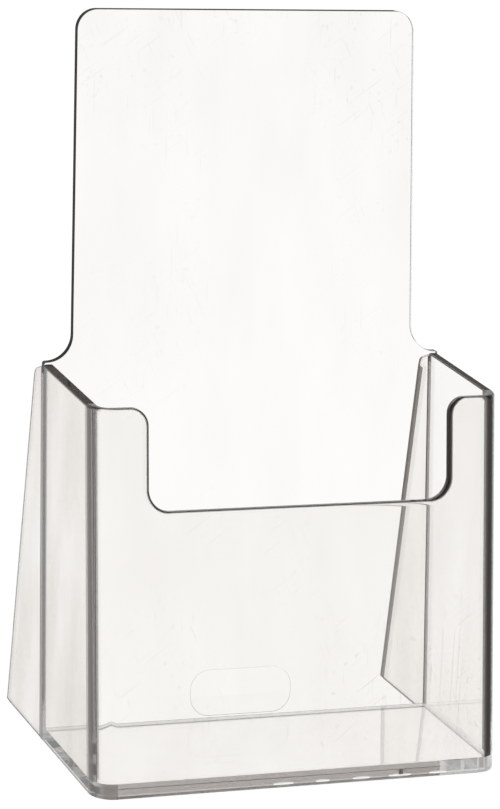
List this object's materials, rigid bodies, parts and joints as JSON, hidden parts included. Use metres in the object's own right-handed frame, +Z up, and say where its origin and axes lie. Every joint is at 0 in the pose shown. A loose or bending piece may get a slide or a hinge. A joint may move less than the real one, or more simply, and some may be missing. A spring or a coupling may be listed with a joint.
{
  "type": "leaflet holder",
  "caption": "Clear countertop leaflet holder: deep pocket with a finger notch, tall leaning back and triangular rear wings.",
  "frame": {"origin": "centre of the footprint's bounding box, on the table", "axes": "+X to the right seen from the front, +Y to the back, +Z up"},
  "size_m": [0.111, 0.081, 0.19],
  "materials": {
    "clear_plastic": "polished clear polystyrene"
  },
  "bodies": {
    "root": {"back_panel": "clear_plastic", "front_panel": "clear_plastic", "front_left_corner": "clear_plastic", "front_right_corner": "clear_plastic", "left_side_wall": "clear_plastic", "right_side_wall": "clear_plastic", "left_rear_wing": "clear_plastic", "right_rear_wing": "clear_plastic", "pocket_floor": "clear_plastic", "label_pad": "clear_plastic"}
  },
  "joints": []
}
